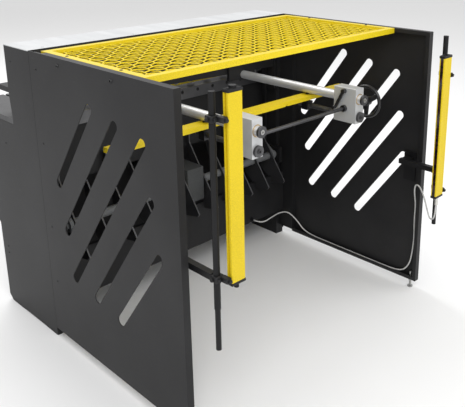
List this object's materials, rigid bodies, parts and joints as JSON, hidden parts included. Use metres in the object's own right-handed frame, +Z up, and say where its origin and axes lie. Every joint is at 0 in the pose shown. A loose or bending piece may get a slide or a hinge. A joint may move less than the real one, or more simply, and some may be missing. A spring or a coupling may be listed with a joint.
{
  "type": "sheet metal guillotine shear rear",
  "caption": "Rear half of a motor-driven sheet-metal guillotine shear with slotted guard panels, a mesh roof, a handwheel back gauge on guide bars and a light curtain on clamped posts.",
  "frame": {"origin": "on the floor, under the middle of the machine's width and of its whole depth", "axes": "+Z up, +Y from the open rear of the guard towards the operator's side, +X towards the handwheel side"},
  "size_m": [1.254, 1.468, 1.112],
  "materials": {
    "panel_anthracite": "fine-textured dark anthracite powder coat",
    "frame_black": "satin near-black paint",
    "safety_yellow": "glossy safety-yellow paint",
    "cover_grey": "satin light grey paint",
    "tool_steel": "ground tool steel",
    "bar_chrome": "hard-chromed ground bar",
    "block_aluminium": "brushed machined aluminium",
    "black_oxide": "black-oxidised steel",
    "bronze": "sintered bronze",
    "black_plastic": "moulded black plastic",
    "window_black": "dark tinted window",
    "motor_grey": "light grey machine paint",
    "zinc": "zinc-plated steel",
    "nickel": "nickel-plated brass",
    "cable_grey": "light grey cable jacket"
  },
  "bodies": {
    "machine": {"side_panel_left": "panel_anthracite", "side_frame_left": "frame_black", "side_cover_left": "panel_anthracite", "ram_guide_left": "frame_black", "light_curtain_left": "safety_yellow", "side_panel_right": "panel_anthracite", "side_frame_right": "frame_black", "side_cover_right": "panel_anthracite", "ram_guide_right": "frame_black", "light_curtain_right": "safety_yellow", "cover_screws": "black_oxide", "roof_frame": "safety_yellow", "roof_mesh": "safety_yellow", "roof_brackets": "frame_black", "top_cover": "cover_grey", "head_beam": "frame_black", "lower_blade": "tool_steel", "lower_blade_screws": "black_oxide", "table_beam": "frame_black", "table_plate": "tool_steel", "front_panel": "panel_anthracite", "front_cover": "cover_grey", "finger_guard": "safety_yellow", "chute_ribs": "frame_black", "back_panel": "panel_anthracite", "rocker_bearings": "frame_black", "gear_motor": "motor_grey", "levelling_feet": "zinc", "curtain_posts": "black_oxide", "post_clamps": "black_plastic", "curtain_arms": "black_oxide", "curtain_windows": "window_black", "curtain_caps": "black_plastic", "cable_gland": "black_plastic", "cable_connector": "nickel", "sensor_cable": "cable_grey"},
    "ram": {"ram_beam": "frame_black", "upper_blade": "tool_steel", "upper_blade_screws": "black_oxide", "bar_mounts": "frame_black", "guide_bars": "bar_chrome", "bar_end_discs": "black_oxide", "bar_end_screws": "zinc", "ram_rods": "black_oxide"},
    "hold_down": {"hold_down_beam": "frame_black", "hold_down_pads": "black_oxide"},
    "rocker": {"rocker_shaft": "motor_grey", "rocker_levers": "motor_grey"},
    "carriage": {"end_block_left": "block_aluminium", "end_block_right": "block_aluminium", "guide_bushes": "bronze"},
    "handwheel_shaft": {"cross_shaft": "black_oxide", "gears_and_collars": "black_oxide", "handwheel": "black_plastic"},
    "screw_left": {"lead_screw_left": "black_oxide"},
    "screw_right": {"lead_screw_right": "black_oxide"},
    "gauge": {"gauge_bar": "safety_yellow", "gauge_nuts": "black_oxide", "gauge_bolts": "black_oxide"},
    "clamp": {"clamp_lever": "black_plastic"}
  },
  "joints": [
    {"name": "ram_stroke", "type": "slide", "parent": "machine", "child": "ram", "axis": [0, 0, 1], "range_m": [-0.075, 0]},
    {"name": "hold_down_stroke", "type": "slide", "parent": "machine", "child": "hold_down", "axis": [0, 0, 1], "range_m": [-0.0118, 0]},
    {"name": "rocker_turn", "type": "hinge", "parent": "machine", "child": "rocker", "pos_m": [0, 0.184, 0.43], "axis": [1, 0, 0], "range_deg": [-74.5, 0.5]},
    {"name": "gauge_position", "type": "slide", "parent": "ram", "child": "carriage", "axis": [0, 1, 0], "range_m": [-0.015, 0.3]},
    {"name": "handwheel_turn", "type": "hinge", "parent": "carriage", "child": "handwheel_shaft", "pos_m": [0, -0.416, 0.818], "axis": [1, 0, 0], "range_deg": [-3960, 288]},
    {"name": "screw_left_turn", "type": "hinge", "parent": "carriage", "child": "screw_left", "pos_m": [-0.19, -0.416, 0.788], "axis": [0, 1, 0], "range_deg": [-3965, 290]},
    {"name": "screw_right_turn", "type": "hinge", "parent": "carriage", "child": "screw_right", "pos_m": [0.355, -0.416, 0.788], "axis": [0, 1, 0], "range_deg": [-3965, 290]},
    {"name": "gauge_fine_feed", "type": "slide", "parent": "carriage", "child": "gauge", "axis": [0, 1, 0], "range_m": [-0.1101, 0.0081]},
    {"name": "clamp_turn", "type": "hinge", "parent": "carriage", "child": "clamp", "pos_m": [0.331, -0.416, 0.886], "axis": [1, 0, 0], "range_deg": [-10, 70]}
  ],
  "couplings": [
    {"joint": "rocker_turn", "follows": "ram_stroke", "rad_per_m": 17.16},
    {"joint": "hold_down_stroke", "follows": "ram_stroke", "ratio": 0.15},
    {"joint": "screw_left_turn", "follows": "handwheel_turn", "ratio": 1},
    {"joint": "screw_right_turn", "follows": "handwheel_turn", "ratio": 1},
    {"joint": "gauge_fine_feed", "follows": "handwheel_turn", "m_per_rad": 0.0015915}
  ]
}
